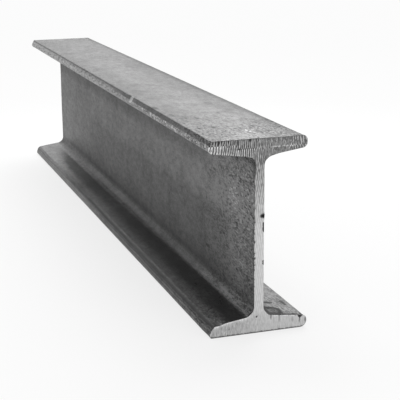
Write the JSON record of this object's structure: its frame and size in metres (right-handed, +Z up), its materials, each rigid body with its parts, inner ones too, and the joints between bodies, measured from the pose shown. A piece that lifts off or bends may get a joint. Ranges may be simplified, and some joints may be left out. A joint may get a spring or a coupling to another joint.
{
  "type": "steel i-beam",
  "caption": "Short length of hot-rolled steel I-beam with tapered flanges, round toes and square sawn ends, for building and fabrication.",
  "frame": {"origin": "on the face it rests on, under the middle of the web and half way along the beam", "axes": "+Z up from the lower flange to the upper one, +Y along the beam, +X across the flanges"},
  "size_m": [0.042, 0.375, 0.08],
  "materials": {
    "rolled_steel": "grey mill scale on the rolled faces, bare sawn steel on the two ends"
  },
  "bodies": {
    "root": {"i_beam": "rolled_steel"}
  },
  "joints": []
}
